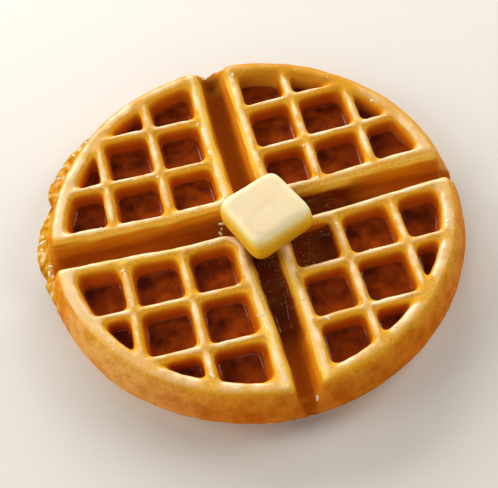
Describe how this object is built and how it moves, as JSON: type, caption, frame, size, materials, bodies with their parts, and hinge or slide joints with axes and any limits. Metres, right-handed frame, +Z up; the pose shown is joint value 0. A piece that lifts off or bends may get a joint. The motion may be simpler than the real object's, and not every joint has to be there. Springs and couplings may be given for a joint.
{
  "type": "waffle",
  "caption": "Round grid waffle in four quarters with raised ribs and deep square pockets on both faces, a pat of butter on top and syrup in the pockets.",
  "frame": {"origin": "middle of the footprint, on the plane the waffle lies on", "axes": "+Z up out of the top face; the two channels between the quarters run along X and Y"},
  "size_m": [0.1858, 0.183, 0.0364],
  "materials": {
    "baked_batter": "golden crust, browner down the walls, pale and slightly glossy along the ribs",
    "soft_butter": "smooth pale yellow butter with soft edges",
    "maple_syrup": "dark amber, wet and clear"
  },
  "bodies": {
    "root": {"butter": "soft_butter", "syrup_q1_c1_r1": "maple_syrup", "syrup_q1_c1_r2": "maple_syrup", "syrup_q1_c1_r3": "maple_syrup", "syrup_q1_c2_r1": "maple_syrup", "syrup_q1_c2_r2": "maple_syrup", "syrup_q1_c2_r3": "maple_syrup", "syrup_q1_c3_r1": "maple_syrup", "syrup_q1_c3_r2": "maple_syrup", "syrup_q2_c1_r1": "maple_syrup", "syrup_q2_c1_r2": "maple_syrup", "syrup_q2_c1_r3": "maple_syrup", "syrup_q2_c2_r1": "maple_syrup", "syrup_q2_c2_r2": "maple_syrup", "syrup_q2_c2_r3": "maple_syrup", "syrup_q2_c3_r1": "maple_syrup", "syrup_q2_c3_r2": "maple_syrup", "syrup_q3_c1_r1": "maple_syrup", "syrup_q3_c1_r2": "maple_syrup", "syrup_q3_c1_r3": "maple_syrup", "syrup_q3_c2_r1": "maple_syrup", "syrup_q3_c2_r2": "maple_syrup", "syrup_q3_c2_r3": "maple_syrup", "syrup_q3_c3_r1": "maple_syrup", "syrup_q3_c3_r2": "maple_syrup", "syrup_q4_c1_r1": "maple_syrup", "syrup_q4_c1_r2": "maple_syrup", "syrup_q4_c1_r3": "maple_syrup", "syrup_q4_c2_r1": "maple_syrup", "syrup_q4_c2_r2": "maple_syrup", "syrup_q4_c2_r3": "maple_syrup", "syrup_q4_c3_r1": "maple_syrup", "syrup_q4_c3_r2": "maple_syrup", "waffle": "baked_batter"}
  },
  "joints": []
}
